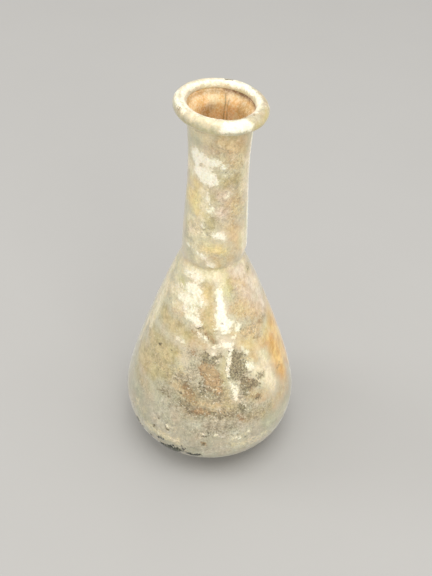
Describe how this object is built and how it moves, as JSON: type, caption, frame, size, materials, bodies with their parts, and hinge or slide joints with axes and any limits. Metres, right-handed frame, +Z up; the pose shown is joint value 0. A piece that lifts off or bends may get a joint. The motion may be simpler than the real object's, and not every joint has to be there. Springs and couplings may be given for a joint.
{
  "type": "glass perfume flask",
  "caption": "Free-blown ancient glass perfume flask: hollow pear-shaped body, pinched neck base, slender neck, thick rolled rim, weathered surface.",
  "frame": {"origin": "centre of the body at the level of the surface it stands on, under the flat foot", "axes": "+Z up along the body's axis; the neck leans and the rim dips slightly towards +X; the face seen by a viewer looks towards -Y"},
  "size_m": [0.0494, 0.0494, 0.1107],
  "materials": {
    "weathered_glass": "weathered, part glossy"
  },
  "bodies": {
    "root": {"flask": "weathered_glass"}
  },
  "joints": []
}
